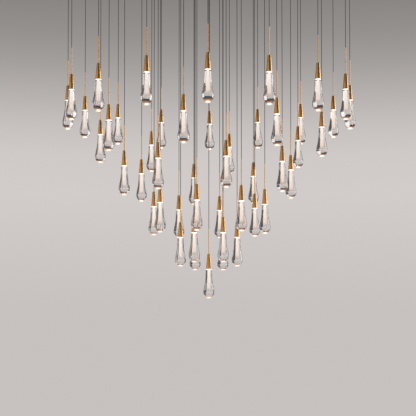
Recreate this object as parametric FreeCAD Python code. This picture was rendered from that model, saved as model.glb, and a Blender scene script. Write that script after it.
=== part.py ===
# Hanging light of glass drops: rings of small pendants on thin cords under one round canopy.
# Millimetres. The ceiling is the plane z = 0, everything hangs below it, and the front is -Y.

import FreeCAD, Part
import math
import os

# Canopy: a round plate with a rim band that closes against the ceiling.
canopy_edge_margin = 42.0
canopy_depth = 70.0
canopy_sheet = 2.0
ceiling_gap = 1.0

# Rings of pendants: each ring is one step further out than the one inside it.
ring_step = 144.0
inner_ring_front_rise = 18.0
outer_drop = 534.0
second_drop = 691.0
third_drop = 880.0
fourth_drop = 1072.0
inner_drop = 1234.0
centre_drop = 1396.0

# One pendant, from the cord down.
cord_diameter = 3.0
cord_tail = 22.0
rod_diameter = 4.6
rod_length = 129.0
cap_top_diameter = 15.5
cap_mouth_diameter = 28.0
cap_length = 75.0
light_diameter = 27.0
light_height = 5.0
neck_diameter = 32.0
bulb_diameter = 57.0
foot_diameter = 25.0
glass_length = 144.0

# Glass outline: how far down the drop, and how far the radius has grown from neck to bulb.
swell = [(0.0, 0.0), (0.3, 0.09), (0.51, 0.45), (0.65, 0.89), (0.765, 1.0)]
# Below the bulb: how far down the drop, and how far the radius has shrunk from bulb to foot.
close_in = [(0.895, 0.32), (1.0, 1.0)]

# Cord grips under the canopy, and the rubber bush that lets the centre pendant swing.
grip_diameter = 14.0
grip_length = 12.0
cord_clearance = 0.3
swing_angle = 3.0
bush_wall = 2.4
bush_flange_overlap = 3.6
bush_flange_height = 1.6

# Ceiling frame: a hub and four arms of flat steel, with four studs that carry the canopy.
frame_thickness = 6.0
frame_arm_width = 60.0
frame_hub_diameter = 260.0
frame_hub_sides = 8
frame_end_margin = 25.0
anchor_circle_steps = 3.5
anchor_hole_diameter = 9.0
supply_hole_diameter = 22.0
stud_circle_steps = 4.5
stud_diameter = 8.0
stud_clearance = 0.5
stud_reach = 8.0
spacer_wall = 2.5
nut_wall = 3.0
nut_crown = 3.0
nut_end_room = 1.0

# Electrical pieces inside the canopy.
driver_circle_steps = 2.5
driver_length = 180.0
driver_width = 52.0
driver_height = 28.0
driver_tab_length = 14.0
driver_tab_height = 3.0
terminal_length = 56.0
terminal_width = 18.0
terminal_height = 14.0
wiring_room = 14.0
wiring_headroom = 16.0
box_wall = 2.0
box_lid_height = 2.5

# Number of flat sides on the small turned pieces, which repeat once for each pendant.
cord_sides = 4
rod_sides = 6
cap_sides = 8
light_sides = 8
glass_sides = 10
grip_sides = 6
stud_sides = 8

rings = [
    {"name": "outer_ring", "steps": 5, "count": 16, "turn": 0.0, "drop": outer_drop, "rise": 0.0},
    {"name": "second_ring", "steps": 4, "count": 8, "turn": -11.25, "drop": second_drop, "rise": 0.0},
    {"name": "third_ring", "steps": 3, "count": 8, "turn": 11.25, "drop": third_drop, "rise": 0.0},
    {"name": "fourth_ring", "steps": 2, "count": 8, "turn": -11.25, "drop": fourth_drop, "rise": 0.0},
    {"name": "inner_ring", "steps": 1, "count": 6, "turn": 30.0, "drop": inner_drop,
     "rise": inner_ring_front_rise},
    {"name": "centre", "steps": 0, "count": 1, "turn": 0.0, "drop": centre_drop, "rise": 0.0},
]

canopy_diameter = 2 * (rings[0]["steps"] * ring_step + canopy_edge_margin)
underside = -canopy_depth
floor_top = underside + canopy_sheet
frame_underside = -frame_thickness
grip_foot = underside - grip_length
cord_bore = cord_diameter + 2 * cord_clearance

# The bush tilts about the middle of its hole, so the hole is wider by the tilt at either end.
swing_slope = math.tan(math.radians(swing_angle))
swing_room = (floor_top - grip_foot) / 2 * swing_slope + cord_clearance
bush_diameter = cord_bore + 2 * bush_wall
bush_bore = bush_diameter + 2 * swing_room
bush_flange_diameter = bush_bore + 2 * bush_flange_overlap
bush_flange_gap = bush_flange_diameter / 2 * swing_slope + cord_clearance
centre_grip_diameter = bush_bore + grip_diameter - cord_bore

stud_bore = stud_diameter + 2 * stud_clearance
stud_foot = underside - stud_reach
nut_diameter = stud_bore + 2 * nut_wall
box_length = terminal_length + 2 * (wiring_room + box_wall)
box_width = terminal_width + 2 * (wiring_room + box_wall)
box_foot = frame_underside - terminal_height - wiring_headroom
box_distance = ring_step / 2


def place(shape, x, y, z):
    moved = shape.copy()
    moved.translate(FreeCAD.Vector(x, y, z))
    return moved


def spot(radius, angle):
    """Plan position at an angle counted from the front, towards the right."""
    turn = math.radians(angle)
    return radius * math.sin(turn), -radius * math.cos(turn)


def flat_radius(diameter, sides):
    """Corner radius of the regular outline with the same area as the round one."""
    return diameter / 2 * math.sqrt(2 * math.pi / (sides * math.sin(2 * math.pi / sides)))


def corners(diameter, sides, height):
    radius = flat_radius(diameter, sides)
    spots = [spot(radius, 360 * (k + 0.5) / sides) for k in range(sides)]
    return [FreeCAD.Vector(x, y, height) for x, y in spots]


def outline(points):
    return Part.makePolygon(points + points[:1])


def turned(profile, sides):
    """Flat-sided turned body from (height, diameter) pairs, listed from the top down."""
    rows = [corners(diameter, sides, height) for height, diameter in profile]
    faces = [Part.Face(outline(rows[0])), Part.Face(outline(rows[-1]))]
    for upper, lower in zip(rows, rows[1:]):
        for k in range(sides):
            n = (k + 1) % sides
            faces.append(Part.Face(outline([upper[k], upper[n], lower[n], lower[k]])))
    shell = Part.Shell(faces)
    shell.sewShape()
    solid = Part.Solid(shell)
    if solid.Volume < 0:
        solid.reverse()
    return solid


def sleeve(outer_diameter, outer_sides, bore_diameter, bore_sides, top, bottom):
    """Upright tube with flat-sided outside and bore."""
    ring = Part.Face([
        outline(corners(outer_diameter, outer_sides, bottom)),
        outline(corners(bore_diameter, bore_sides, bottom)),
    ])
    return ring.extrude(FreeCAD.Vector(0, 0, top - bottom))


def block(length, width, top, bottom):
    return Part.makeBox(length, width, top - bottom, FreeCAD.Vector(-length / 2, -width / 2, bottom))


def disc(diameter, top, bottom):
    return Part.makeCylinder(diameter / 2, top - bottom, FreeCAD.Vector(0, 0, bottom))


def around(shape, steps, count=4):
    """Equal copies about the centre, each turned to face it, a number of ring steps out."""
    first = place(shape, 0, -steps * ring_step, 0)
    return [first.rotated(FreeCAD.Vector(), FreeCAD.Vector(0, 0, 1), 360 * k / count) for k in range(count)]


def save(name, solids):
    Part.makeCompound(solids).exportStep("parts/" + name + ".step")
    print(name, len(solids), "solids, volume", round(sum(s.Volume for s in solids)))


def node_name(ring, kind):
    return ring["name"] + "_" + kind + ("s" if ring["count"] > 1 else "")


def hanging_places(ring):
    """Plan position and rod-top height of every pendant in a ring."""
    places = []
    for k in range(ring["count"]):
        angle = ring["turn"] + 360 * k / ring["count"]
        x, y = spot(ring["steps"] * ring_step, angle)
        lift = ring["rise"] * math.cos(math.radians(angle))
        places.append((x, y, underside - ring["drop"] + lift))
    return places


def make_rod():
    return turned([(0, rod_diameter), (-rod_length, rod_diameter)], rod_sides)


def make_cap():
    return turned([(0, cap_top_diameter), (-cap_length, cap_mouth_diameter)], cap_sides)


def make_light():
    return turned([(0, light_diameter), (-light_height, light_diameter)], light_sides)


def make_glass():
    """Solid cast drop: straight neck, smooth swell to the bulb, drawn in to a small flat foot."""
    profile = [(-glass_length * down, neck_diameter + grown * (bulb_diameter - neck_diameter))
               for down, grown in swell]
    profile += [(-glass_length * down, bulb_diameter + shrunk * (foot_diameter - bulb_diameter))
                for down, shrunk in close_in]
    return turned(profile, glass_sides)


def make_cord(rod_top):
    return turned([(floor_top + cord_tail, cord_diameter), (rod_top, cord_diameter)], cord_sides)


def make_ring(ring):
    """The cords, rods, caps, lights and glass drops of one ring, each kind in a file of its own."""
    places = hanging_places(ring)
    save(node_name(ring, "cord"), [place(make_cord(z), x, y, 0) for x, y, z in places])
    hung = [
        ("rod", make_rod(), 0),
        ("cap", make_cap(), rod_length),
        ("light", make_light(), rod_length + cap_length),
        ("glass_drop", make_glass(), rod_length + cap_length + light_height),
    ]
    for kind, shape, below in hung:
        save(node_name(ring, kind), [place(shape, x, y, z - below) for x, y, z in places])


def make_plate():
    """Round plate with a hole for every cord and every stud."""
    cord_places = [p for ring in rings[:-1] for p in hanging_places(ring)]
    wires = [Part.Wire(Part.makeCircle(canopy_diameter / 2, FreeCAD.Vector(0, 0, underside)))]
    for x, y, z in cord_places:
        wires.append(place(outline(corners(cord_bore, cord_sides, underside)), x, y, 0))
    wires.append(outline(corners(bush_bore, grip_sides, underside)))
    wires += around(outline(corners(stud_bore, stud_sides, underside)), stud_circle_steps)
    return Part.Face(wires).extrude(FreeCAD.Vector(0, 0, canopy_sheet))


def make_rim():
    """Band that stands on the plate's edge and closes the canopy up to the ceiling."""
    band = disc(canopy_diameter, -ceiling_gap, floor_top)
    return band.cut(disc(canopy_diameter - 2 * canopy_sheet, -ceiling_gap, floor_top))


def make_grips():
    """One grip under the canopy for every cord but the centre one."""
    grip = sleeve(grip_diameter, grip_sides, cord_bore, cord_sides, underside, grip_foot)
    return [place(grip, x, y, 0) for ring in rings[:-1] for x, y, z in hanging_places(ring)]


def make_centre_grip():
    return sleeve(centre_grip_diameter, grip_sides, bush_bore, grip_sides, underside, grip_foot)


def make_centre_bush():
    """Rubber bush: a sleeve round the centre cord, hung by its flange over the hole in the plate."""
    flange_foot = floor_top + bush_flange_gap
    flange_top = flange_foot + bush_flange_height
    body = turned([(flange_top, bush_flange_diameter), (flange_foot, bush_flange_diameter),
                   (flange_foot, bush_diameter), (grip_foot, bush_diameter)], grip_sides)
    return body.cut(turned([(flange_top, cord_bore), (grip_foot, cord_bore)], cord_sides))


def make_hub():
    """Flat plate in the middle of the ceiling frame, with the hole for the mains supply."""
    hub = turned([(0, frame_hub_diameter), (frame_underside, frame_hub_diameter)], frame_hub_sides)
    return hub.cut(place(disc(supply_hole_diameter, 0, frame_underside), 0, box_distance, 0))


def make_arms():
    """Four flat bars, butted against the hub, each with a hole for its ceiling anchor."""
    start = flat_radius(frame_hub_diameter, frame_hub_sides) * math.cos(math.pi / frame_hub_sides)
    end = stud_circle_steps * ring_step + frame_end_margin
    middle = (start + end) / 2
    arm = place(block(frame_arm_width, end - start, 0, frame_underside), 0,
                anchor_circle_steps * ring_step - middle, 0)
    return around(arm.cut(disc(anchor_hole_diameter, 0, frame_underside)), anchor_circle_steps)


def make_studs():
    stud = turned([(frame_underside, stud_diameter), (stud_foot, stud_diameter)], stud_sides)
    return around(stud, stud_circle_steps)


def make_spacers():
    """Tubes round the studs that hold the plate at its distance from the frame."""
    tube = sleeve(stud_bore + 2 * spacer_wall, stud_sides, stud_bore, stud_sides, frame_underside,
                  floor_top)
    return around(tube, stud_circle_steps)


def make_nuts():
    """Closed nuts under the canopy, with room past the end of each stud."""
    bore_end = stud_foot - nut_end_room
    nut = turned([(underside, nut_diameter), (bore_end, nut_diameter),
                  (bore_end - nut_crown, nut_diameter / 2)], grip_sides)
    hole = turned([(underside, stud_bore), (bore_end, stud_bore)], stud_sides)
    return around(nut.cut(hole), stud_circle_steps)


def make_drivers():
    """Supply units that turn mains into lighting current, one under each arm of the frame."""
    case = block(driver_length, driver_width, frame_underside, frame_underside - driver_height)
    tab_span = driver_length + 2 * driver_tab_length
    tabs = block(tab_span, driver_width / 2, frame_underside, frame_underside - driver_tab_height)
    return around(case.fuse(tabs).removeSplitter(), driver_circle_steps)


def make_box():
    """Wiring box under the supply hole: four walls, closed above by the frame and below by the lid."""
    walls = block(box_length, box_width, frame_underside, box_foot)
    inside = block(box_length - 2 * box_wall, box_width - 2 * box_wall, frame_underside, box_foot)
    return place(walls.cut(inside), 0, box_distance, 0)


def make_box_lid():
    return place(block(box_length, box_width, box_foot, box_foot - box_lid_height), 0, box_distance, 0)


def make_terminals():
    """Row of terminals that stands on the lid of the wiring box."""
    row = block(terminal_length, terminal_width, box_foot + terminal_height, box_foot)
    return place(row, 0, box_distance, 0)


def main():
    os.makedirs("parts", exist_ok=True)
    for ring in rings:
        make_ring(ring)
    save("canopy_plate", [make_plate()])
    save("canopy_rim", [make_rim()])
    save("cord_grips", make_grips())
    save("centre_grip", [make_centre_grip()])
    save("centre_cord_bush", [make_centre_bush()])
    save("frame_hub", [make_hub()])
    save("frame_arms", make_arms())
    save("canopy_studs", make_studs())
    save("stud_spacers", make_spacers())
    save("canopy_nuts", make_nuts())
    save("light_drivers", make_drivers())
    save("wiring_box", [make_box()])
    save("wiring_box_lid", [make_box_lid()])
    save("terminal_block", [make_terminals()])


main()
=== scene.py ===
import math
import random
import bpy
from mathutils import Euler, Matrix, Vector


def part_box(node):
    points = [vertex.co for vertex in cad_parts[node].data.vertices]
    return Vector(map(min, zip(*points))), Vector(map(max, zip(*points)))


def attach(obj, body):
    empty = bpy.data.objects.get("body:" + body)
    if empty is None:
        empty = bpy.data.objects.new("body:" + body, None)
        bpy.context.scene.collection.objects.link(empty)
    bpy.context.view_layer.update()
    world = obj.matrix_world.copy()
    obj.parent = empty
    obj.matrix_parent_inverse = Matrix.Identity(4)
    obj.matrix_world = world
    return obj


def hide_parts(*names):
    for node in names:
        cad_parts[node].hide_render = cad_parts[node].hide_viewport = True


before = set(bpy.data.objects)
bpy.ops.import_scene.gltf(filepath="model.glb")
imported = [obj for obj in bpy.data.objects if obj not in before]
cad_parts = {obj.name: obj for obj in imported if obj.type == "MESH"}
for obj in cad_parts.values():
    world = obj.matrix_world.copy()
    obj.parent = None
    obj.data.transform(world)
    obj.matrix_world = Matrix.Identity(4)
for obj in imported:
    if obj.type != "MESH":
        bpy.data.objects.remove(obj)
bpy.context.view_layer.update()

random.seed(47)
millimetre = 0.001
print("frame loaded")

# Camera, at the photograph's viewing angle: metres in the chandelier's own frame, origin at the ceiling
viewpoint = {
    "distance": 5.50,
    "sideTurn": 0.34,         # degrees round to the right
    "height": -1.867,
    "tiltUp": 1.97,           # degrees
    "focalLength": 93.8,      # millimetres, as is the width of the picture plane
    "planeWidth": 36,
    "sideShift": -0.0020,
    "riseShift": 0.15,
    "furthestSeen": 200,
}
sideTurn = math.radians(viewpoint["sideTurn"])
away = viewpoint["distance"]
bpy.ops.object.camera_add(
    location=(away * math.sin(sideTurn), -away * math.cos(sideTurn), viewpoint["height"]),
    rotation=(math.radians(90 + viewpoint["tiltUp"]), 0, sideTurn))
camera = bpy.context.object
camera.data.lens = viewpoint["focalLength"]
camera.data.sensor_width = viewpoint["planeWidth"]
camera.data.shift_x = viewpoint["sideShift"]
camera.data.shift_y = viewpoint["riseShift"]
camera.data.clip_end = viewpoint["furthestSeen"]
bpy.context.scene.camera = camera
print("camera placed")

# The hanging pattern, which every cord, rod, cap, light and drop follows
pattern = {
    "step": 144 * millimetre,          # from one ring to the next
    "canopyUnderside": -70 * millimetre,
    "cordTop": -46 * millimetre,
    # ring: steps from the axis, pendants, first one's angle, rise towards the front
    "rings": {
        "outer_ring": (5, 16, 0.0, 0.0),
        "second_ring": (4, 8, -11.25, 0.0),
        "third_ring": (3, 8, 11.25, 0.0),
        "fourth_ring": (2, 8, -11.25, 0.0),
        "inner_ring": (1, 6, 30.0, 18 * millimetre),
        "centre": (0, 1, 0.0, 0.0),
    },
}


def bodyOf(ring):
    return "centre_pendant" if ring == "centre" else ring


def nodeOf(ring, kind):
    # the one pendant in the centre has names without an s
    return ring + "_" + (kind[:-1] if ring == "centre" else kind)


def hangingPlaces(ring):
    # cap tops: the caps' box gives the height, and the rise of an uneven ring is taken out again
    steps, count, first, rise = pattern["rings"][ring]
    turns = [math.radians(first + 360 * number / count) for number in range(count)]
    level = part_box(nodeOf(ring, "caps"))[1].z - rise * max(math.cos(turn) for turn in turns)
    radius = steps * pattern["step"]
    return [Vector((radius * math.sin(turn), -radius * math.cos(turn), level + rise * math.cos(turn)))
            for turn in turns]


# Finishes are built from nodes

def feed(tree, node, inputs):
    # another node's socket is linked, and anything else is set on the node's own socket
    for key, value in inputs.items():
        if isinstance(value, bpy.types.NodeSocket):
            tree.links.new(value, node.inputs[key])
        else:
            node.inputs[key].default_value = value


def addNode(tree, kind, inputs=None, **settings):
    node = tree.nodes.new("ShaderNode" + kind)
    for key, value in settings.items():
        setattr(node, key, value)
    feed(tree, node, inputs or {})
    return node


def ownPlace(tree):
    return addNode(tree, "Attribute", attribute_name="ownPlace").outputs["Vector"]


def objectPlace(tree):
    return addNode(tree, "TexCoord").outputs["Object"]


def colourAlong(tree, value, stops):
    # stops: value, and the colour there
    low, high = stops[0][0], stops[-1][0]
    share = addNode(tree, "MapRange", {"Value": value, "From Min": low, "From Max": high})
    ramp = addNode(tree, "ValToRGB", {"Fac": share.outputs[0]})
    while len(ramp.color_ramp.elements) < len(stops):
        ramp.color_ramp.elements.new(0.5)
    for element, (spot, colour) in zip(ramp.color_ramp.elements, stops):
        element.position = (spot - low) / (high - low)
        element.color = (*colour, 1)
    return ramp.outputs[0]


def levelAlong(tree, value, stops):
    return colourAlong(tree, value, [(spot, (level, level, level)) for spot, level in stops])


def newFinish(name):
    finish = bpy.data.materials.new(name)
    finish.use_nodes = True
    tree = finish.node_tree
    return finish, tree, tree.nodes["Principled BSDF"]


# Cord sleeve: dark fine weave
cordSleeve, tree, shader = newFinish("cord sleeve")
weave = addNode(tree, "TexNoise", {"Vector": objectPlace(tree), "Scale": 1800.0, "Detail": 1.0})
thread = addNode(tree, "MixRGB", {"Fac": weave.outputs["Fac"], "Color1": (0.018, 0.017, 0.016, 1),
                                  "Color2": (0.085, 0.08, 0.076, 1)})
feed(tree, shader, {"Base Color": thread.outputs[0], "Roughness": 0.8})

# Cords: tight and straight, from the canopy's inside down to the rod
cordSizes = {"diameter": 3.0 * millimetre, "lengthSteps": 4, "roundSteps": 3, "mostDeclared": 9}
rodSizes = {"diameter": 4.6 * millimetre, "length": 129 * millimetre, "chamfer": 0.5 * millimetre,
            "sides": 12}


def hangCord(name, place):
    heights = (pattern["cordTop"], pattern["canopyUnderside"], place.z + rodSizes["length"])
    line = bpy.data.curves.new(name, "CURVE")
    line.dimensions = "3D"
    run = line.splines.new("NURBS")
    run.points.add(len(heights) - 1)
    for point, height in zip(run.points, heights):
        point.co = (place.x, place.y, height, 1)
    run.order_u = 3
    run.use_endpoint_u = True
    run.resolution_u = cordSizes["lengthSteps"]
    line.bevel_depth = cordSizes["diameter"] / 2
    line.bevel_resolution = cordSizes["roundSteps"]
    line.use_fill_caps = True
    line.materials.append(cordSleeve)
    cord = bpy.data.objects.new(name, line)
    bpy.context.scene.collection.objects.link(cord)
    return cord


cords = []
for ring in pattern["rings"]:
    for number, place in enumerate(hangingPlaces(ring)):
        cord = hangCord(f"{ring}_cord_{number + 1}", place)
        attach(cord, bodyOf(ring))
        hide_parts(nodeOf(ring, "cords"))
        cords.append(cord)
print("cords hung:", len(cords))


# Modelling helpers

def letGo():
    # an operator acts on all that is selected
    if bpy.context.object and bpy.context.object.mode != "OBJECT":
        bpy.ops.object.mode_set(mode="OBJECT")
    bpy.ops.object.select_all(action="DESELECT")


def pick(piece):
    letGo()
    piece.select_set(True)
    bpy.context.view_layer.objects.active = piece


def named(piece, name):
    piece.name = name
    piece.data.name = name
    return piece


def spun(name, outline, sides):
    # one corner is drawn out along the outline of (radius, height), then spun round the upright axis
    letGo()
    bpy.ops.mesh.primitive_plane_add(size=millimetre)
    piece = named(bpy.context.object, name)
    bpy.ops.object.mode_set(mode="EDIT")
    bpy.ops.mesh.merge(type="CENTER")
    bpy.ops.transform.translate(value=(outline[0][0], 0, outline[0][1]))
    for start, end in zip(outline, outline[1:]):
        bpy.ops.mesh.extrude_vertices_move(
            TRANSFORM_OT_translate={"value": (end[0] - start[0], 0, end[1] - start[1])})
    bpy.ops.mesh.select_all(action="SELECT")
    bpy.ops.mesh.spin(steps=sides, angle=2 * math.pi, center=(0, 0, 0), axis=(0, 0, 1))
    bpy.ops.mesh.select_all(action="SELECT")
    bpy.ops.mesh.remove_doubles(threshold=0.01 * millimetre)
    bpy.ops.mesh.normals_make_consistent(inside=False)
    bpy.ops.object.mode_set(mode="OBJECT")
    return piece


def finishWith(piece, kind, **settings):
    pick(piece)
    modifier = piece.modifiers.new(kind, kind)
    for key, value in settings.items():
        setattr(modifier, key, value)
    bpy.ops.object.modifier_apply(modifier=modifier.name)


def smooth(piece, degrees):
    pick(piece)
    bpy.ops.object.shade_smooth_by_angle(angle=math.radians(degrees))


def keepOwnPlace(piece):
    # the place within one pendant, so that a pattern is the same on each copy
    piece.data.attributes.new("ownPlace", "FLOAT_VECTOR", "POINT")
    flat = [number for corner in piece.data.vertices for number in corner.co]
    piece.data.attributes["ownPlace"].data.foreach_set("vector", flat)


def gather(name, pieces):
    pick(pieces[0])
    for piece in pieces:
        piece.select_set(True)
    if len(pieces) > 1:
        bpy.ops.object.join()
    bpy.ops.object.transform_apply(location=True, rotation=True, scale=True)
    return named(bpy.context.object, name)


def copyTo(model, name, spots):
    # each copy has its own mesh, its place and its turn about the upright axis
    copies = []
    for place, turn in spots:
        pick(model)
        bpy.ops.object.duplicate()
        copy = bpy.context.object
        copy.location = place
        copy.rotation_euler.z = turn
        copies.append(copy)
    return gather(name, copies)


def putAway(model):
    bpy.data.meshes.remove(model.data)


def quarterTurns():
    # round the axis, a right angle apart
    return [(Vector(), math.radians(90 * number)) for number in range(4)]


def drawnUp(name, outline, sides):
    # a disc is drawn from corner to corner of (radius, height), keeping flat ends
    letGo()
    radius, height = outline[0]
    bpy.ops.mesh.primitive_circle_add(vertices=sides, radius=radius, fill_type="NGON",
                                      location=(0, 0, height))
    piece = named(bpy.context.object, name)
    bpy.ops.object.transform_apply(location=True)
    bpy.ops.object.mode_set(mode="EDIT")
    for start, end in zip(outline, outline[1:]):
        bpy.ops.mesh.extrude_region_move(TRANSFORM_OT_translate={"value": (0, 0, end[1] - start[1])})
        ratio = end[0] / start[0]
        bpy.ops.transform.resize(value=(ratio, ratio, 1), center_override=(0, 0, end[1]))
    bpy.ops.mesh.select_all(action="SELECT")
    bpy.ops.mesh.normals_make_consistent(inside=False)
    bpy.ops.object.mode_set(mode="OBJECT")
    return piece


def blockBetween(name, low, high, edge):
    letGo()
    low, high = Vector(low), Vector(high)
    bpy.ops.mesh.primitive_cube_add(size=1, location=(low + high) / 2, scale=high - low)
    piece = named(bpy.context.object, name)
    bpy.ops.object.transform_apply(location=True, rotation=True, scale=True)
    finishWith(piece, "BEVEL", width=edge, segments=2, limit_method="ANGLE")
    return piece


overrun = 10 * millimetre      # how far a drill or a cutter goes past the faces that it cuts


def pierce(piece, spots, radius, low, high, sides=16):
    drills = []
    for x, y in spots:
        letGo()
        bpy.ops.mesh.primitive_cylinder_add(vertices=sides, radius=radius, depth=high - low,
                                            location=(x, y, (low + high) / 2))
        drills.append(bpy.context.object)
    cutWith(piece, gather("drill", drills))


def cutWith(piece, cutter):
    finishWith(piece, "BOOLEAN", operation="DIFFERENCE", object=cutter, solver="EXACT")
    putAway(cutter)


# Finishes

def dress(piece, finish, slot, body, *nodes):
    piece.data.materials.clear()
    piece.data.materials.append(finish)
    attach(piece, body)
    if nodes:
        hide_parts(*nodes)


# brushed: fine lines along one way of the metal, with a slow cloudiness over them
brushed = bpy.data.node_groups.new("brushed", "ShaderNodeTree")
brushedSockets = {
    "INPUT": [("Place", "Vector"), ("Stretch", "Vector"), ("Colour", "Color"), ("Aged colour", "Color"),
              ("Roughness", "Float"), ("Cloud scale", "Float")],
    "OUTPUT": [("Colour", "Color"), ("Roughness", "Float"), ("Height", "Float")],
}
for way, sockets in brushedSockets.items():
    for label, sort in sockets:
        brushed.interface.new_socket(label, in_out=way, socket_type="NodeSocket" + sort)
brushedLook = {
    "cloudFrom": 0.42,      # where the noise starts to age the metal, and where it is fully aged
    "cloudTo": 0.68,
    "lineFrom": 0.35,
    "lineTo": 0.65,
    "lineShare": 0.45,
    "rougher": 0.12,
    "reliefDepth": 0.05 * millimetre,
    "lacquerRoughness": 0.15,
}
given = brushed.nodes.new("NodeGroupInput")
made = brushed.nodes.new("NodeGroupOutput")
stretched = addNode(brushed, "VectorMath", {0: given.outputs["Place"], 1: given.outputs["Stretch"]},
                    operation="MULTIPLY")
lines = addNode(brushed, "TexNoise", {"Vector": stretched.outputs[0], "Scale": 1.0, "Detail": 3.0})
clouds = addNode(brushed, "TexNoise", {"Vector": given.outputs["Place"],
                                       "Scale": given.outputs["Cloud scale"], "Detail": 4.0})
cloudMask = addNode(brushed, "MapRange", {"Value": clouds.outputs["Fac"],
                                          "From Min": brushedLook["cloudFrom"],
                                          "From Max": brushedLook["cloudTo"]})
lineMask = addNode(brushed, "MapRange", {"Value": lines.outputs["Fac"], "From Min": brushedLook["lineFrom"],
                                         "From Max": brushedLook["lineTo"],
                                         "To Max": brushedLook["lineShare"]})
aged = addNode(brushed, "Math", {0: cloudMask.outputs[0], 1: lineMask.outputs[0]}, operation="MAXIMUM")
toned = addNode(brushed, "MixRGB", {"Fac": aged.outputs[0], "Color1": given.outputs["Colour"],
                                    "Color2": given.outputs["Aged colour"]})
rougher = addNode(brushed, "Math", {0: aged.outputs[0], 1: brushedLook["rougher"],
                                    2: given.outputs["Roughness"]}, operation="MULTIPLY_ADD")
feed(brushed, made, {"Colour": toned.outputs[0], "Roughness": rougher.outputs[0],
                     "Height": lines.outputs["Fac"]})


def brushedFinish(name, look, placeOf):
    finish, tree, shader = newFinish(name)
    group = addNode(tree, "Group", {"Place": placeOf(tree), "Stretch": look["lineStretch"],
                                    "Colour": look["colour"], "Aged colour": look["agedColour"],
                                    "Roughness": look["roughness"], "Cloud scale": look["cloudScale"]},
                    node_tree=brushed)
    relief = addNode(tree, "Bump", {"Height": group.outputs["Height"], "Strength": look["relief"],
                                    "Distance": brushedLook["reliefDepth"]})
    feed(tree, shader, {"Base Color": group.outputs["Colour"], "Roughness": group.outputs["Roughness"],
                        "Normal": relief.outputs[0], "Metallic": 1.0, "Coat Weight": look["lacquer"],
                        "Coat Roughness": brushedLook["lacquerRoughness"]})
    return finish


agedBrass = brushedFinish("aged brass", {
    "colour": (0.72, 0.37, 0.10, 1),
    "agedColour": (0.52, 0.25, 0.06, 1),
    "lineStretch": (90, 90, 2600),     # lines run round the turned pieces
    "roughness": 0.24,
    "cloudScale": 60.0,
    "relief": 0.35,
    "lacquer": 1.0,
}, ownPlace)

# Lit lens: frosted, evenly lit, a little warmer in specks
litLens, tree, shader = newFinish("lit lens")
speck = addNode(tree, "TexNoise", {"Vector": ownPlace(tree), "Scale": 900.0, "Detail": 2.0})
warmth = addNode(tree, "MixRGB", {"Fac": speck.outputs["Fac"], "Color1": (1.0, 0.92, 0.82, 1),
                                  "Color2": (1.0, 0.97, 0.92, 1)})
feed(tree, shader, {"Base Color": warmth.outputs[0], "Emission Color": warmth.outputs[0],
                    "Emission Strength": 0.65, "Roughness": 0.5})

# Bubbles: a fine foam in the glass. The light that it carries down from the lens is painted on as emission,
# brightest near the lens and faint at its end
paintedFoamLight = [(-0.188, (0.42, 0.37, 0.34)), (-0.172, (0.80, 0.67, 0.59)), (-0.140, (0.90, 0.78, 0.69)),
             (-0.100, (0.96, 0.85, 0.75))]
bubbleFoam, tree, shader = newFinish("bubble foam")
own = ownPlace(tree)
depth = addNode(tree, "SeparateXYZ", {0: own})
# painted glow: bright under the lens and fading down the foam, with streaks and dots in it
fall = colourAlong(tree, depth.outputs["Z"], paintedFoamLight)
grain = addNode(tree, "TexVoronoi", {"Vector": own, "Scale": 520.0})
streaky = addNode(tree, "VectorMath", {0: own, 1: (1.0, 1.0, 0.12)}, operation="MULTIPLY")
streaks = addNode(tree, "TexNoise", {"Vector": streaky.outputs[0], "Scale": 420.0, "Detail": 2.0})
shaded = addNode(tree, "MapRange", {"Value": streaks.outputs["Fac"], "From Min": 0.3, "From Max": 0.7,
                                    "To Min": 0.86, "To Max": 1.06})
dotted = addNode(tree, "MapRange", {"Value": grain.outputs["Distance"], "From Max": 0.6,
                                    "To Min": 1.04, "To Max": 0.90})
level = addNode(tree, "Math", {0: shaded.outputs[0], 1: dotted.outputs[0]}, operation="MULTIPLY")
glow = addNode(tree, "VectorMath", {0: fall, "Scale": level.outputs[0]}, operation="SCALE")
bumps = addNode(tree, "Bump", {"Height": grain.outputs["Distance"], "Strength": 0.5,
                               "Distance": 0.4 * millimetre})
# the foam's emission is painted light
feed(tree, shader, {"Base Color": (0.20, 0.185, 0.165, 1), "Roughness": 0.35, "Normal": bumps.outputs[0],
                    "Emission Color": glow.outputs[0], "Emission Strength": 1.05})

# Cast glass: clear, with the faint waviness of a poured piece. Painted light: emission paints a glow in the
# foot, a painted coppery glow over it, and a painted glow in the edge under the lens
paintedGlassLight = [(-0.2240, (0.74, 0.65, 0.56)), (-0.2192, (0.56, 0.42, 0.32)), (-0.2182, (0.46, 0.22, 0.13)),
              (-0.2150, (0.30, 0.12, 0.07)), (-0.2110, (0, 0, 0)), (-0.0835, (0, 0, 0)),
              (-0.0818, (0.30, 0.28, 0.25)), (-0.0800, (0.5, 0.47, 0.43))]
castGlass, tree, shader = newFinish("cast glass")
own = ownPlace(tree)
depth = addNode(tree, "SeparateXYZ", {0: own})
outside = addNode(tree, "Math", {0: 1.0, 1: addNode(tree, "NewGeometry").outputs["Backfacing"]},
                  operation="SUBTRACT")
# painted glow by height, shown on the outer faces only
paintedGlassGlow = colourAlong(tree, depth.outputs["Z"], paintedGlassLight)
paintedGlassGlow = addNode(tree, "VectorMath", {0: paintedGlassGlow, "Scale": outside.outputs[0]}, operation="SCALE")
waves = addNode(tree, "TexNoise", {"Vector": own, "Scale": 55.0, "Detail": 1.0})
tint = addNode(tree, "MixRGB", {"Fac": waves.outputs["Fac"], "Color1": (0.985, 0.957, 0.958, 1),
                                "Color2": (0.995, 0.977, 0.973, 1)})
ripple = addNode(tree, "Bump", {"Height": waves.outputs["Fac"], "Strength": 0.25,
                                "Distance": 1.0 * millimetre})
feed(tree, shader, {"Base Color": tint.outputs[0], "Emission Color": paintedGlassGlow.outputs[0],
                    "Emission Strength": 0.9, "Normal": ripple.outputs[0], "Roughness": 0.01, "IOR": 1.5,
                    "Transmission Weight": 1.0})
print("finishes mixed")

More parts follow.
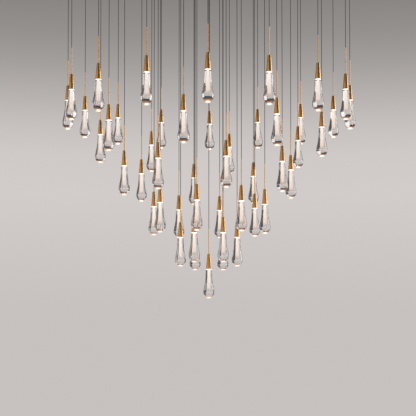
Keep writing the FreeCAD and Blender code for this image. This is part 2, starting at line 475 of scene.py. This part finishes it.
# One pendant, modelled hanging from its cap's top at the origin, then copied to every place
capSizes = {
    "topRadius": 7.75 * millimetre,
    "mouthRadius": 14 * millimetre,
    "length": 75 * millimetre,
    "shoulder": 0.7 * millimetre,
    "shoulderDrop": 0.8 * millimetre,
    "shoulderCurve": 0.2 * millimetre,
    "lip": 0.6 * millimetre,
    "sides": 40,
}
lightSizes = {"radius": 13.5 * millimetre, "height": 5.0 * millimetre, "rounding": 0.6 * millimetre,
              "sides": 32}
glassSizes = {
    "length": 144 * millimetre,
    "sides": 20,
    # share of the length below the light, and radius in millimetres
    "outline": [(0.0, 15.6), (0.012, 16.2), (0.10, 15.9), (0.28, 16.6), (0.44, 19.0), (0.56, 22.6),
                (0.66, 26.4), (0.76, 28.8), (0.85, 27.4), (0.91, 23.0), (0.945, 16.5), (0.965, 14.2),
                (0.985, 12.8), (1.0, 14.5)],
}
bubbleSizes = {
    "topRadius": 4.4 * millimetre,
    "endRadius": 6.4 * millimetre,
    "length": 108 * millimetre,
    "topGap": 0.4 * millimetre,
    "sides": 12,
    "rows": 20,
    "unevenness": 1.1 * millimetre,
    "unevenSpacing": 3.2 * millimetre,
    # loose bubbles sit on the foam's skin, more of them low down
    "looseBubbles": 70,
    "smallest": 0.35 * millimetre,
    "largest": 1.1 * millimetre,
    "lowness": 0.6,
    "skin": (0.92, 1.18),
    "firstLoose": 0.04,
    "looseRun": 0.95,
    "longest": 1.5,
}


def makeRod():
    radius = rodSizes["diameter"] / 2
    cut = rodSizes["chamfer"]
    top = rodSizes["length"]
    return spun("rod", [(0, top), (radius - cut, top), (radius, top - cut), (radius, 0), (0, 0)],
                rodSizes["sides"])


def makeCap():
    top, mouth, length = capSizes["topRadius"], capSizes["mouthRadius"], capSizes["length"]
    curve, lip = capSizes["shoulderCurve"], capSizes["lip"]
    head = [(0, 0), (top - capSizes["shoulder"], 0), (top - curve, -curve), (top, -capSizes["shoulderDrop"])]
    mouthEdge = [(mouth, lip - length), (mouth - lip / 2, -length), (0, -length)]
    cap = spun("cap", head + mouthEdge, capSizes["sides"])
    smooth(cap, 25)
    return cap


def makeLight():
    radius, height, rounding = lightSizes["radius"], lightSizes["height"], lightSizes["rounding"]
    top = -capSizes["length"]
    outline = [(0, top), (radius - rounding, top), (radius, top - rounding),
               (radius, top - height + rounding), (radius - rounding, top - height), (0, top - height)]
    light = spun("light", outline, lightSizes["sides"])
    smooth(light, 50)
    return light


def makeGlass():
    # the corners of a smoothed outline are drawn in, so the radii are set out by as much
    setOut = 6 / (4 + 2 * math.cos(2 * math.pi / glassSizes["sides"]))
    top = -capSizes["length"] - lightSizes["height"]
    length = glassSizes["length"]
    outline = [(radius * millimetre * setOut, top - share * length)
               for share, radius in glassSizes["outline"]]
    outline = [(0, top)] + outline + [(0, top - length)]
    glass = spun("glass", outline, glassSizes["sides"])
    finishWith(glass, "SUBSURF", levels=2, render_levels=2)
    smooth(glass, 60)
    return glass


def foamRadius(share):
    return bubbleSizes["topRadius"] + share * (bubbleSizes["endRadius"] - bubbleSizes["topRadius"])


def makeBubbles():
    top = -capSizes["length"] - lightSizes["height"] - bubbleSizes["topGap"]
    length, rows = bubbleSizes["length"], bubbleSizes["rows"]
    end = foamRadius(1)
    straight = [(foamRadius(row / rows), top - (length - end) * row / rows) for row in range(rows + 1)]
    dome = [(end * math.cos(turn), top - length + end - end * math.sin(turn))
            for turn in (math.radians(30), math.radians(60), math.radians(80))]
    foam = spun("foam", [(0, top)] + straight + dome + [(0, top - length)], bubbleSizes["sides"])
    finishWith(foam, "SUBSURF", levels=1, render_levels=1)
    cloudy = bpy.data.textures.new("foam unevenness", "CLOUDS")
    cloudy.noise_scale = bubbleSizes["unevenSpacing"]
    finishWith(foam, "DISPLACE", texture=cloudy, strength=bubbleSizes["unevenness"], mid_level=0.5,
               texture_coords="LOCAL")
    bpy.data.textures.remove(cloudy)
    smooth(foam, 80)
    loose = [foam]
    for number in range(bubbleSizes["looseBubbles"]):
        share = random.random() ** bubbleSizes["lowness"]
        size = random.uniform(bubbleSizes["smallest"], bubbleSizes["largest"])
        out = foamRadius(share) * random.uniform(*bubbleSizes["skin"])
        turn = random.uniform(0, 2 * math.pi)
        height = top - length * (bubbleSizes["firstLoose"] + bubbleSizes["looseRun"] * share)
        letGo()
        bpy.ops.mesh.primitive_uv_sphere_add(segments=8, ring_count=5, radius=size,
                                             location=(out * math.cos(turn), out * math.sin(turn), height))
        bubble = bpy.context.object
        bubble.scale.z = random.uniform(1.0, bubbleSizes["longest"])     # drawn out as the glass ran
        smooth(bubble, 80)
        loose.append(bubble)
    return gather("bubbles", loose)


kinds = [
    ("rods", makeRod(), agedBrass, "brass"),
    ("caps", makeCap(), agedBrass, "brass"),
    ("lights", makeLight(), litLens, "light_lens"),
    ("glass_drops", makeGlass(), castGlass, "cast_glass"),
]
bubbleModel = makeBubbles()
keepOwnPlace(bubbleModel)
for kind, model, finish, slot in kinds:
    keepOwnPlace(model)
for ring in pattern["rings"]:
    spots = [(place, random.uniform(-math.pi, math.pi)) for place in hangingPlaces(ring)]
    for kind, model, finish, slot in kinds:
        group = copyTo(model, nodeOf(ring, kind) + "_shown", spots)
        dress(group, finish, slot, bodyOf(ring), nodeOf(ring, kind))
    foam = copyTo(bubbleModel, ring + "_bubbles", spots)
    dress(foam, bubbleFoam, "light_lens", bodyOf(ring))
    print("pendants hung in", ring)
for kind, model, finish, slot in kinds:
    putAway(model)
putAway(bubbleModel)

# Canopy: a plate and rim drawn from one sheet, with a rounded lower edge, pierced for every cord and stud
canopySizes = {
    "sheet": 2 * millimetre,
    "outerRounding": 4 * millimetre,
    "innerRounding": 2 * millimetre,
    "roundingSteps": 4,
    "hem": 0.5 * millimetre,
    "sides": 160,
    "cordHole": 1.9 * millimetre,
    "bushHole": 4.87 * millimetre,
    "bushHoleSides": 24,
    "studHole": 4.5 * millimetre,
    "studRoom": 0.5 * millimetre,
}
lowCorner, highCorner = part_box("canopy_plate")
canopyRadius, underside = highCorner.x, lowCorner.z
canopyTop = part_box("canopy_rim")[1].z
studLow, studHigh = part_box("canopy_studs")
studCircle = (studHigh.y - studLow.y) / 2 - (canopySizes["studHole"] - canopySizes["studRoom"])
studSpots = [(studCircle * math.sin(turn), -studCircle * math.cos(turn))
             for middle, turn in quarterTurns()]
cordSpots = [(place.x, place.y) for ring in pattern["rings"] if ring != "centre"
             for place in hangingPlaces(ring)]


def quarterRound(radius, height, rounding):
    # corners of a rounded edge, from the flat up to the wall
    steps = canopySizes["roundingSteps"]
    turns = [math.pi / 2 * number / steps for number in range(steps + 1)]
    return [(radius - rounding + rounding * math.sin(turn), height + rounding * (1 - math.cos(turn)))
            for turn in turns]


def makeCanopy():
    sheet, hem = canopySizes["sheet"], canopySizes["hem"]
    wall = canopyRadius - sheet
    outside = quarterRound(canopyRadius, underside, canopySizes["outerRounding"])
    inside = quarterRound(wall, underside + sheet, canopySizes["innerRounding"])
    edge = [(canopyRadius, canopyTop - hem), (canopyRadius - hem, canopyTop), (wall + hem, canopyTop),
            (wall, canopyTop - hem)]
    pan = drawnUp("canopy_shown", outside + edge + inside[::-1], canopySizes["sides"])
    reach = (underside - sheet, underside + 2 * sheet)
    pierce(pan, cordSpots, canopySizes["cordHole"], *reach)
    pierce(pan, studSpots, canopySizes["studHole"], *reach)
    pierce(pan, [(0, 0)], canopySizes["bushHole"], *reach, sides=canopySizes["bushHoleSides"])
    smooth(pan, 35)
    return pan


canopyBronze = brushedFinish("canopy bronze", {
    "colour": (0.42, 0.25, 0.12, 1),
    "agedColour": (0.30, 0.17, 0.08, 1),
    "lineStretch": (60, 60, 60),
    "roughness": 0.38,
    "cloudScale": 5.0,
    "relief": 0.1,
    "lacquer": 0.0,
}, objectPlace)
dress(makeCanopy(), canopyBronze, "canopy_metal", "canopy", "canopy_plate", "canopy_rim")
print("canopy drawn")

# Grips: a six-sided collar against the canopy and a round nose, grooved once, that closes on the cord
gripSizes = {
    "bore": 1.8 * millimetre,
    "collar": 7.0 * millimetre,
    "collarHeight": 5.0 * millimetre,
    "nose": 5.6 * millimetre,
    "noseEnd": 3.2 * millimetre,
    "noseRounding": 1.2 * millimetre,
    "height": 12.0 * millimetre,
    "chamfer": 0.6 * millimetre,
    "groove": 0.4 * millimetre,
    "sides": 20,
}


def sixSided(name, bore, corner, top, foot, cut):
    # the bore's flats, not its corners, clear what passes through
    inner = bore / math.cos(math.radians(30))
    return spun(name, [(inner, top), (corner - cut, top), (corner, top - cut), (corner, foot + cut),
                       (corner - cut, foot), (inner, foot), (inner, top)], 6)


def makeGrip(bore, spread):
    collar, nose, end = (gripSizes[key] + spread for key in ("collar", "nose", "noseEnd"))
    seat, foot = underside - gripSizes["collarHeight"], underside - gripSizes["height"]
    groove, rounding = gripSizes["groove"], gripSizes["noseRounding"]
    hexagon = sixSided("collar", bore, collar, underside, seat, gripSizes["chamfer"])
    outline = [(bore, seat), (nose, seat), (nose, seat - 3 * groove), (nose - groove, seat - 4 * groove),
               (nose - groove, seat - 5 * groove), (nose, seat - 6 * groove),
               (nose - groove, foot + 2 * rounding), (end + rounding, foot + rounding / 2), (end, foot),
               (bore, foot), (bore, seat)]
    grip = gather("grip", [hexagon, spun("nose", outline, gripSizes["sides"])])
    smooth(grip, 35)
    keepOwnPlace(grip)
    return grip


gripModel = makeGrip(gripSizes["bore"], 0)
grips = copyTo(gripModel, "cord_grips_shown",
               [(Vector((x, y, 0)), math.atan2(x, -y)) for x, y in cordSpots])
putAway(gripModel)
dress(grips, agedBrass, "brass", "canopy", "cord_grips")
spread = canopySizes["bushHole"] - gripSizes["bore"]
centreGrip = makeGrip(canopySizes["bushHole"], spread)
centreGrip.name = "centre_grip_shown"
dress(centreGrip, agedBrass, "brass", "canopy", "centre_grip")

# Bush: a rubber sleeve round the centre cord, hung by its flange over the hole
bushSizes = {"bore": 1.7 * millimetre, "wall": 4.2 * millimetre, "flange": 8.4 * millimetre,
             "flangeHeight": 1.6 * millimetre, "rounding": 0.5 * millimetre, "sides": 24}


def makeBush():
    low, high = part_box("centre_cord_bush")
    bore, wall, flange = bushSizes["bore"], bushSizes["wall"], bushSizes["flange"]
    easing, under = bushSizes["rounding"], high.z - bushSizes["flangeHeight"]
    outline = [(bore, high.z), (flange - easing, high.z), (flange, high.z - easing),
               (flange, under + easing), (flange - easing, under), (wall + easing, under),
               (wall, under - easing), (wall, low.z + easing), (wall - easing, low.z), (bore, low.z),
               (bore, high.z)]
    bush = spun("centre_cord_bush_shown", outline, bushSizes["sides"])
    smooth(bush, 50)
    keepOwnPlace(bush)
    return bush


grainLook = {"fineScale": 1500.0, "slowScale": 25.0, "smoother": 0.08, "rougher": 0.12,
             "depth": 0.1 * millimetre}


def grainedFinish(name, colour, spots, roughness, relief, metallic=0.0):
    finish, tree, shader = newFinish(name)
    place = objectPlace(tree)
    fine = addNode(tree, "TexNoise", {"Vector": place, "Scale": grainLook["fineScale"], "Detail": 2.0})
    slow = addNode(tree, "TexNoise", {"Vector": place, "Scale": grainLook["slowScale"], "Detail": 3.0})
    toned = addNode(tree, "MixRGB", {"Fac": slow.outputs["Fac"], "Color1": colour, "Color2": spots})
    varied = addNode(tree, "MapRange", {"Value": slow.outputs["Fac"],
                                        "To Min": roughness - grainLook["smoother"],
                                        "To Max": roughness + grainLook["rougher"]})
    bump = addNode(tree, "Bump", {"Height": fine.outputs["Fac"], "Strength": relief,
                                  "Distance": grainLook["depth"]})
    feed(tree, shader, {"Base Color": toned.outputs[0], "Roughness": varied.outputs[0],
                        "Normal": bump.outputs[0], "Metallic": metallic})
    return finish


blackRubber = grainedFinish("black rubber", (0.03, 0.03, 0.03, 1), (0.07, 0.068, 0.065, 1), 0.7, 0.4)
palePlastic = grainedFinish("pale plastic", (0.80, 0.80, 0.78, 1), (0.72, 0.72, 0.70, 1), 0.42, 0.3)
zincSteel = grainedFinish("zinc steel", (0.62, 0.63, 0.64, 1), (0.46, 0.47, 0.49, 1), 0.36, 0.15,
                          metallic=1.0)
dress(makeBush(), blackRubber, "black_rubber", "centre_bush", "centre_cord_bush")
print("grips and bush fitted")

# Studs, spacer tubes and closed nuts, which carry the canopy
studSizes = {
    "radius": 4.0 * millimetre,
    "sides": 16,
    "thread": 0.35 * millimetre,
    "pitch": 2.0 * millimetre,
    "bore": 4.5 * millimetre,
    "spacer": 7.0 * millimetre,
    "spacerChamfer": 0.4 * millimetre,
    "spacerSides": 32,
    "nut": 7.5 * millimetre,
    "nutChamfer": 0.5 * millimetre,
    "nutCollar": 5.5 * millimetre,
    "nutWall": 2.0 * millimetre,
    "crownStep": 0.9 * millimetre,
    "crownSides": 24,
    "hollowEnd": 1.0 * millimetre,
}


def makeStud():
    radius, root = studSizes["radius"], studSizes["radius"] - studSizes["thread"]
    top, foot, pitch = studHigh.z, studLow.z, studSizes["pitch"]
    ridges = int((top - foot) / pitch) - 1
    outline = [(0, top), (root, top)]
    for number in range(ridges):
        height = top - pitch * (number + 0.5)
        outline += [(root, height), (radius, height - pitch / 2)]
    return spun("stud", outline + [(root, foot), (0, foot)], studSizes["sides"])


def makeSpacer():
    low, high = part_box("stud_spacers")
    bore, wall, cut = studSizes["bore"], studSizes["spacer"], studSizes["spacerChamfer"]
    return spun("spacer", [(bore, high.z), (wall - cut, high.z), (wall, high.z - cut), (wall, low.z + cut),
                           (wall - cut, low.z), (bore, low.z), (bore, high.z)], studSizes["spacerSides"])


def makeNut():
    low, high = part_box("canopy_nuts")
    bore, nut, wall = studSizes["bore"], studSizes["nut"], studSizes["nutWall"]
    seat = high.z - studSizes["nutCollar"]
    hexagon = sixSided("nut collar", bore, nut, high.z, seat, studSizes["nutChamfer"])
    crown, depth, end = nut - studSizes["crownStep"], seat - low.z, low.z + wall
    dome = [(crown * math.cos(turn), seat - depth * math.sin(turn))
            for turn in (math.radians(18 * step) for step in range(5))]
    hollow = [(0, end), (bore * 0.7, end), (bore, end + studSizes["hollowEnd"])]
    shell = spun("nut crown", [(bore, seat)] + dome + [(0, low.z)] + hollow + [(bore, seat)],
                 studSizes["crownSides"])
    return gather("nut", [hexagon, shell])


turnedParts = [
    ("canopy_studs", makeStud, zincSteel, "zinc_steel"),
    ("stud_spacers", makeSpacer, zincSteel, "zinc_steel"),
    ("canopy_nuts", makeNut, agedBrass, "brass"),
]
for node, make, finish, slot in turnedParts:
    model = make()
    smooth(model, 35)
    keepOwnPlace(model)
    group = copyTo(model, node + "_shown", [(Vector((x, y, 0)), 0) for x, y in studSpots])
    putAway(model)
    dress(group, finish, slot, "canopy", node)
print("studs, spacers and nuts fitted")

# Ceiling frame: a hub and four flat bars
frameSizes = {
    "edge": 0.8 * millimetre,
    "hubSides": 8,
    "armWidth": 60 * millimetre,
    "anchorHole": 4.5 * millimetre,
    "anchorCircle": 504 * millimetre,
    "supplyHole": 11 * millimetre,
    "supplyHoleSides": 32,
}


def makeHub():
    low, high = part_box("frame_hub")
    halfSide = math.pi / frameSizes["hubSides"]
    corner = high.x / math.cos(halfSide)
    hub = drawnUp("frame_hub_shown", [(corner, low.z), (corner, high.z)], frameSizes["hubSides"])
    hub.rotation_euler.z = halfSide
    pick(hub)
    bpy.ops.object.transform_apply(location=True, rotation=True, scale=True)
    boxMiddle = (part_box("wiring_box")[0].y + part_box("wiring_box")[1].y) / 2
    pierce(hub, [(0, boxMiddle)], frameSizes["supplyHole"], low.z - overrun, high.z + overrun,
           sides=frameSizes["supplyHoleSides"])
    finishWith(hub, "BEVEL", width=frameSizes["edge"], segments=2, limit_method="ANGLE")
    smooth(hub, 35)
    return hub


def makeArms():
    low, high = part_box("frame_arms")
    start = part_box("frame_hub")[1].y
    half = frameSizes["armWidth"] / 2
    arm = blockBetween("arm", (-half, low.y, low.z), (half, -start, high.z), frameSizes["edge"])
    pierce(arm, [(0, -frameSizes["anchorCircle"])], frameSizes["anchorHole"], low.z - overrun,
           high.z + overrun)
    smooth(arm, 35)
    arms = copyTo(arm, "frame_arms_shown", quarterTurns())
    putAway(arm)
    return arms


dress(makeHub(), zincSteel, "zinc_steel", "canopy", "frame_hub")
dress(makeArms(), zincSteel, "zinc_steel", "canopy", "frame_arms")
print("ceiling frame made")

# Light drivers: moulded cases with a fitted lid, end covers and fixing tabs
driverSizes = {
    "length": 180 * millimetre,
    "width": 52 * millimetre,
    "edge": 2.0 * millimetre,
    "seam": 0.8 * millimetre,
    "seamHeight": 9 * millimetre,
    "seamEdge": 0.1 * millimetre,
    "endCover": 22 * millimetre,
    "tabLength": 14 * millimetre,
    "tabHeight": 3 * millimetre,
    "tabEdge": 1.2 * millimetre,
    "tabOverlap": 1 * millimetre,
    "screwPlace": 0.55,             # share of the tab's length
    "screw": 3.2 * millimetre,
    "screwHeight": 1.6 * millimetre,
    "screwSides": 16,
    "slotEdge": 0.02 * millimetre,
}


def makeScrew(x, y, top):
    # a low round head with a cross cut in it, facing down
    radius, height = driverSizes["screw"], driverSizes["screwHeight"]
    outline = [(0, top), (radius, top), (radius, top - 0.4 * height), (0.8 * radius, top - 0.85 * height),
               (0.4 * radius, top - height), (0, top - height)]
    head = spun("screw", outline, driverSizes["screwSides"])
    for wide, deep in ((0.55 * radius, 0.12 * radius), (0.12 * radius, 0.55 * radius)):
        slot = blockBetween("slot", (-wide, -deep, top - 2 * height), (wide, deep, top - 0.55 * height),
                            driverSizes["slotEdge"])
        cutWith(head, slot)
    head.location = (x, y, 0)
    smooth(head, 35)
    return head


def makeDriver():
    low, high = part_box("light_drivers")
    middle = -((high.y - low.y) / 2 - driverSizes["width"] / 2)
    length, width, fine = driverSizes["length"] / 2, driverSizes["width"] / 2, driverSizes["seamEdge"]
    seam, seamHeight = driverSizes["seam"], low.z + driverSizes["seamHeight"]
    case = blockBetween("case", (-length, middle - width, low.z), (length, middle + width, high.z),
                        driverSizes["edge"])
    groove = blockBetween("groove", (-length - seam, middle - width - seam, seamHeight),
                          (length + seam, middle + width + seam, seamHeight + seam), fine)
    core = blockBetween("core", (-length + seam, middle - width + seam, low.z),
                        (length - seam, middle + width - seam, high.z), fine)
    cutWith(groove, core)
    cutWith(case, groove)
    for side in (-1, 1):
        spot = side * (length - driverSizes["endCover"])
        line = blockBetween("line", (spot - seam / 2, middle - width - seam, seamHeight),
                            (spot + seam / 2, middle + width + seam, high.z + seam), fine)
        core = blockBetween("core", (spot - seam, middle - width + seam, low.z),
                            (spot + seam, middle + width - seam, high.z - seam), fine)
        cutWith(line, core)
        cutWith(case, line)
    smooth(case, 35)
    parts = [case]
    tabLength, tabFoot = driverSizes["tabLength"], high.z - driverSizes["tabHeight"]
    for side in (-1, 1):
        inner, outer = side * (length - driverSizes["tabOverlap"]), side * (length + tabLength)
        tab = blockBetween("tab", (min(inner, outer), middle - width / 2, tabFoot),
                           (max(inner, outer), middle + width / 2, high.z), driverSizes["tabEdge"])
        smooth(tab, 35)
        parts.append(tab)
        parts.append(makeScrew(side * (length + driverSizes["screwPlace"] * tabLength), middle, tabFoot))
    return gather("driver", parts)


driverModel = makeDriver()
drivers = copyTo(driverModel, "light_drivers_shown", quarterTurns())
putAway(driverModel)
dress(drivers, palePlastic, "pale_plastic", "canopy", "light_drivers")

# Wiring box, its lid and the row of terminals in it
boxSizes = {"wall": 2 * millimetre, "edge": 1.0 * millimetre, "insideEdge": 0.5 * millimetre}
lidSizes = {"edge": 0.7 * millimetre, "screwInset": 6 * millimetre, "screwSeat": 0.5 * millimetre}
terminalSizes = {
    "ways": 6,
    "edge": 0.8 * millimetre,
    "gap": 1.2 * millimetre,
    "gapDepth": 6 * millimetre,
    "gapEdge": 0.1 * millimetre,
    "hole": 1.9 * millimetre,
    "holeDepth": 4 * millimetre,
    "holeInset": 4.5 * millimetre,
}


def makeWiringBox():
    low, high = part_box("wiring_box")
    wall = Vector((boxSizes["wall"], boxSizes["wall"], -overrun))
    walls = blockBetween("wiring_box_shown", low, high, boxSizes["edge"])
    cutWith(walls, blockBetween("inside", low + wall, high - wall, boxSizes["insideEdge"]))
    smooth(walls, 35)
    return walls


def makeLid():
    low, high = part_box("wiring_box_lid")
    lid = blockBetween("lid", low, high, lidSizes["edge"])
    smooth(lid, 35)
    inset = lidSizes["screwInset"]
    screws = [makeScrew(x, y, low.z + lidSizes["screwSeat"])
              for x in (low.x + inset, high.x - inset) for y in (low.y + inset, high.y - inset)]
    return gather("wiring_box_lid_shown", [lid] + screws)


def makeTerminals():
    low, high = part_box("terminal_block")
    row = blockBetween("row", low, high, terminalSizes["edge"])
    ways, halfGap, inset = terminalSizes["ways"], terminalSizes["gap"] / 2, terminalSizes["holeInset"]
    gapFoot, past = high.z - terminalSizes["gapDepth"], high.z + overrun
    step = (high.x - low.x) / ways
    for number in range(1, ways):
        x = low.x + number * step
        cutWith(row, blockBetween("gap", (x - halfGap, low.y - overrun, gapFoot),
                                  (x + halfGap, high.y + overrun, past), terminalSizes["gapEdge"]))
    smooth(row, 35)
    holes = [(low.x + step * (number + 0.5), y) for number in range(ways)
             for y in (low.y + inset, high.y - inset)]
    pierce(row, holes, terminalSizes["hole"], high.z - terminalSizes["holeDepth"], past)
    row.name = "terminal_block_shown"
    return row


dress(makeWiringBox(), zincSteel, "zinc_steel", "canopy", "wiring_box")
dress(makeLid(), zincSteel, "zinc_steel", "canopy", "wiring_box_lid")
dress(makeTerminals(), palePlastic, "pale_plastic", "canopy", "terminal_block")
print("drivers and wiring box fitted")

# Floor, ceiling and cards. The pale floor keeps the object's shadow and fades into the backdrop. The dark
# ceiling over the canopy and the cards, white ones high, grey and black ones low, show only through glass
stageSizes = {
    "floorHeight": -3.4,
    "floorRadius": 16.0,
    "litRadius": 4.0,
    "plainRadius": 8.0,
    "ceilingHeight": 10 * millimetre,
    "ceilingRadius": 2.35,
    "discSides": 96,
}
stageLooks = {"floor": (0.84, 0.82, 0.80, 1), "ceiling": (0.03, 0.028, 0.028, 1), "roughness": 0.9}
# a card: left and right edge, foot and head, place to the back, turn in degrees, and light
cards = {
    "white card right": (-0.50, 0.50, -0.80, -0.04, 1.4, -59, 0.95),
    "white card left": (-0.36, 0.36, -0.80, -0.04, 1.4, 65, 0.95),
    "near card right": (0.30, 6.0, -3.35, -1.90, 0.8, 0, 0.28),
    "near card left": (-3.2, -1.15, -3.35, -1.90, 0.8, 0, 0.28),
    "middle card right": (0.75, 8.0, -3.38, -1.86, 2.4, 0, 0.03),
    "far card right": (1.9, 14.0, -3.38, -1.0, 6.0, 0, 0.03),
    "far card left": (-14.0, -4.2, -3.38, -1.0, 6.0, 0, 0.03),
}
backdropColour = (0.655, 0.617, 0.60, 1)
# sine of the height above level, and share of the colour
backdropLevels = [(0.0, 0.87), (0.06, 0.93), (0.105, 0.98), (0.14, 0.95), (0.165, 0.86), (0.19, 0.72),
                  (0.22, 0.56), (0.245, 0.46), (0.275, 0.38)]
lowLevel = backdropLevels[0][1]


def makeDisc(name):
    letGo()
    bpy.ops.mesh.primitive_circle_add(vertices=stageSizes["discSides"], radius=stageSizes[name + "Radius"],
                                      fill_type="NGON", location=(0, 0, stageSizes[name + "Height"]))
    disc = bpy.context.object
    disc.name = name
    finish, tree, shader = newFinish(name)
    feed(tree, shader, {"Base Color": stageLooks[name], "Roughness": stageLooks["roughness"]})
    disc.data.materials.append(finish)
    return disc, tree, shader


tree, shader = makeDisc("floor")[1:]
distance = addNode(tree, "VectorMath", {0: objectPlace(tree)}, operation="LENGTH")
fade = addNode(tree, "MapRange", {"Value": distance.outputs["Value"], "From Min": stageSizes["litRadius"],
                                  "From Max": stageSizes["plainRadius"]}, interpolation_type="SMOOTHSTEP")
path = addNode(tree, "LightPath")
seen = addNode(tree, "Math", {0: path.outputs["Is Camera Ray"], 1: path.outputs["Is Glossy Ray"]},
               operation="MAXIMUM")
seen = addNode(tree, "Math", {0: seen.outputs[0], 1: path.outputs["Is Transmission Ray"]},
               operation="MAXIMUM")
share = addNode(tree, "Math", {0: fade.outputs[0], 1: seen.outputs[0]}, operation="MULTIPLY")
plain = addNode(tree, "Emission", {"Color": backdropColour, "Strength": lowLevel})
mixed = addNode(tree, "MixShader", {0: share.outputs[0], 1: shader.outputs[0], 2: plain.outputs[0]})
feed(tree, tree.nodes["Material Output"], {"Surface": mixed.outputs[0]})


def showOnlyThroughGlass(piece):
    for kind in ("camera", "diffuse", "glossy", "shadow"):
        setattr(piece, "visible_" + kind, False)


showOnlyThroughGlass(makeDisc("ceiling")[0])

for name, (left, right, foot, head, back, degrees, light) in cards.items():
    letGo()
    turn = math.radians(degrees)
    middle = Vector(((left + right) / 2, back, (foot + head) / 2))
    middle.rotate(Euler((0, 0, turn)))
    bpy.ops.mesh.primitive_plane_add(size=1, location=middle, rotation=(math.pi / 2, 0, turn))
    card = bpy.context.object
    card.name = name
    card.scale = (right - left, head - foot, 1)
    cardFinish, tree, shader = newFinish(name)
    feed(tree, shader, {"Base Color": (0, 0, 0, 1), "Emission Color": (1, 1, 1, 1),
                        "Emission Strength": light})
    card.data.materials.append(cardFinish)
    showOnlyThroughGlass(card)

# World: to the eye the plain backdrop, darker upward. Glass sees the backdrop behind it and a dark screen at
# each side; metal sees a lit left side, a dark front and a bright strip at the right
degree = math.radians(1)
throughLevels = [(0.0, 0.87), (0.06, 0.93), (0.105, 0.98), (0.14, 0.95), (0.18, 0.82), (0.60, 0.80)]
throughSides = [(-180, 0), (-142, 0), (-136, 1), (-104, 1), (-98, 0), (78, 0), (84, 1), (152, 1), (157, 0),
                (180, 0)]
throughFront = [(-180, 0), (-104, 0), (-98, 1), (78, 1), (84, 0), (180, 0)]
screenLevels = [(-0.36, 0.50), (-0.30, 0.04), (0.02, 0.04), (0.06, 0.24), (0.11, 0.24), (0.15, 0.04),
                (0.80, 0.04)]
metalLow = [(-180, 0.10), (-126, 0.10), (-110, 0.90), (-22, 0.90), (0, 0.62), (128, 0.60), (140, 0.20),
            (180, 0.15)]
metalHigh = [(-180, 0.10), (-126, 0.10), (-110, 0.50), (-22, 0.50), (-8, 0.06), (62, 0.06), (80, 0.35),
             (128, 0.35), (140, 0.16), (180, 0.16)]
metalRise = (0.20, 0.38)      # from the low sides to the high ones
metalStrip = [(-180, 0), (82, 0), (90, 1), (126, 1), (136, 0), (180, 0)]
stripHeights = [(-0.16, 0), (-0.12, 1), (0.40, 1), (0.46, 0)]
strengths = {"front": 0.7, "strip": 2.6, "diffuse": 0.5}
world = bpy.data.worlds.new("studio")
bpy.context.scene.world = world
world.use_nodes = True
tree = world.node_tree
direction = addNode(tree, "TexCoord")
parts = addNode(tree, "SeparateXYZ", {0: direction.outputs["Generated"]})
back = addNode(tree, "Math", {0: parts.outputs["Y"], 1: -1.0}, operation="MULTIPLY")
around = addNode(tree, "Math", {0: parts.outputs["X"], 1: back.outputs[0]}, operation="ARCTAN2").outputs[0]


def levelRound(stops):
    # stops go round from the back by the left, the front and the right, in degrees
    return levelAlong(tree, around, [(spot * degree, level) for spot, level in stops])


def scaled(colour, factor):
    return addNode(tree, "VectorMath", {0: colour, "Scale": factor}, operation="SCALE").outputs[0]


def mix(share, first, second):
    return addNode(tree, "MixRGB", {"Fac": share, "Color1": first, "Color2": second}).outputs[0]


def backdropAt(stops):
    levels = levelAlong(tree, parts.outputs["Z"], stops)
    return addNode(tree, "VectorMath", {0: levels, 1: backdropColour[:3]}, operation="MULTIPLY").outputs[0]


screen = levelAlong(tree, parts.outputs["Z"], screenLevels)
through = mix(levelRound(throughSides), backdropAt(throughLevels), screen)
through = mix(levelRound(throughFront), through, (*[strengths["front"]] * 3, 1))
rise = addNode(tree, "MapRange", {"Value": parts.outputs["Z"], "From Min": metalRise[0],
                                  "From Max": metalRise[1]}).outputs[0]
reflected = mix(rise, levelRound(metalLow), levelRound(metalHigh))
stripHeight = levelAlong(tree, parts.outputs["Z"], stripHeights)
strip = addNode(tree, "VectorMath", {0: levelRound(metalStrip), 1: stripHeight}, operation="MULTIPLY")
strip = scaled(strip.outputs[0], strengths["strip"])
reflected = addNode(tree, "VectorMath", {0: reflected, 1: strip}, operation="ADD").outputs[0]
path = addNode(tree, "LightPath")
lit = mix(path.outputs["Is Glossy Ray"], (*[strengths["diffuse"]] * 3, 1), reflected)
lit = mix(path.outputs["Is Transmission Ray"], lit, through)
eye = mix(path.outputs["Is Camera Ray"], lit, backdropAt(backdropLevels))
feed(tree, tree.nodes["Background"], {"Color": eye})

# Lamp: one broad soft key
keyLamp = {"place": (3.2, -4.6, 0.6), "aim": (0, 0, -1.1), "size": 3.0, "power": 150,
           "colour": (1.0, 0.98, 0.95)}
letGo()
bpy.ops.object.light_add(type="AREA", location=keyLamp["place"])
key = bpy.context.object
key.name = "key"
key.data.size = keyLamp["size"]
key.data.energy = keyLamp["power"]
key.data.color = keyLamp["colour"]
key.rotation_euler = (Vector(keyLamp["aim"]) - key.location).to_track_quat("-Z", "Y").to_euler()
for kind in ("camera", "glossy", "transmission"):
    setattr(key, "visible_" + kind, False)
print("studio lit")

bpy.context.scene.view_settings.view_transform = "Standard"
letGo()
